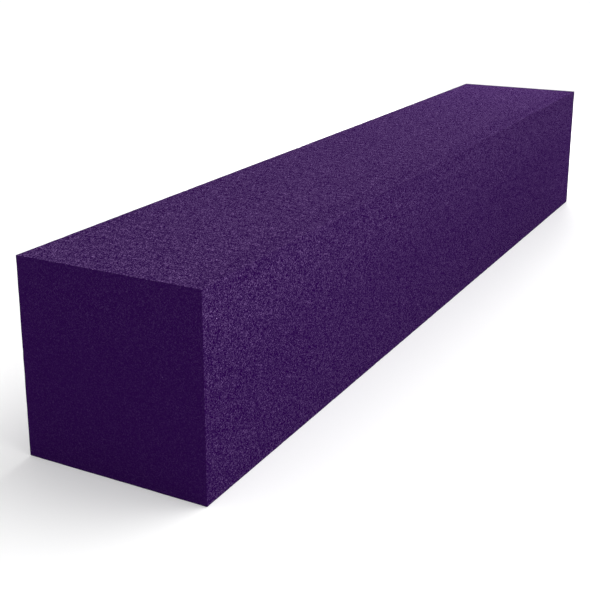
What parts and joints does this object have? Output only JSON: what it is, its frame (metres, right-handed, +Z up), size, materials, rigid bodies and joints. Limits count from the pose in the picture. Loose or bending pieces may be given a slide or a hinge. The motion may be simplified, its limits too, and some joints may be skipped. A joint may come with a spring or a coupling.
{
  "type": "floral foam block",
  "caption": "Long square block of rigid fine-celled floral foam, sawn flat on all six faces, with slightly worn edges.",
  "frame": {"origin": "middle of the face that the block rests on", "axes": "+X along the block's length, +Y across its width, +Z up"},
  "size_m": [0.6, 0.1, 0.1],
  "materials": {
    "foam": "matte, fine open-celled foam"
  },
  "bodies": {
    "root": {"foam_block": "foam"}
  },
  "joints": []
}
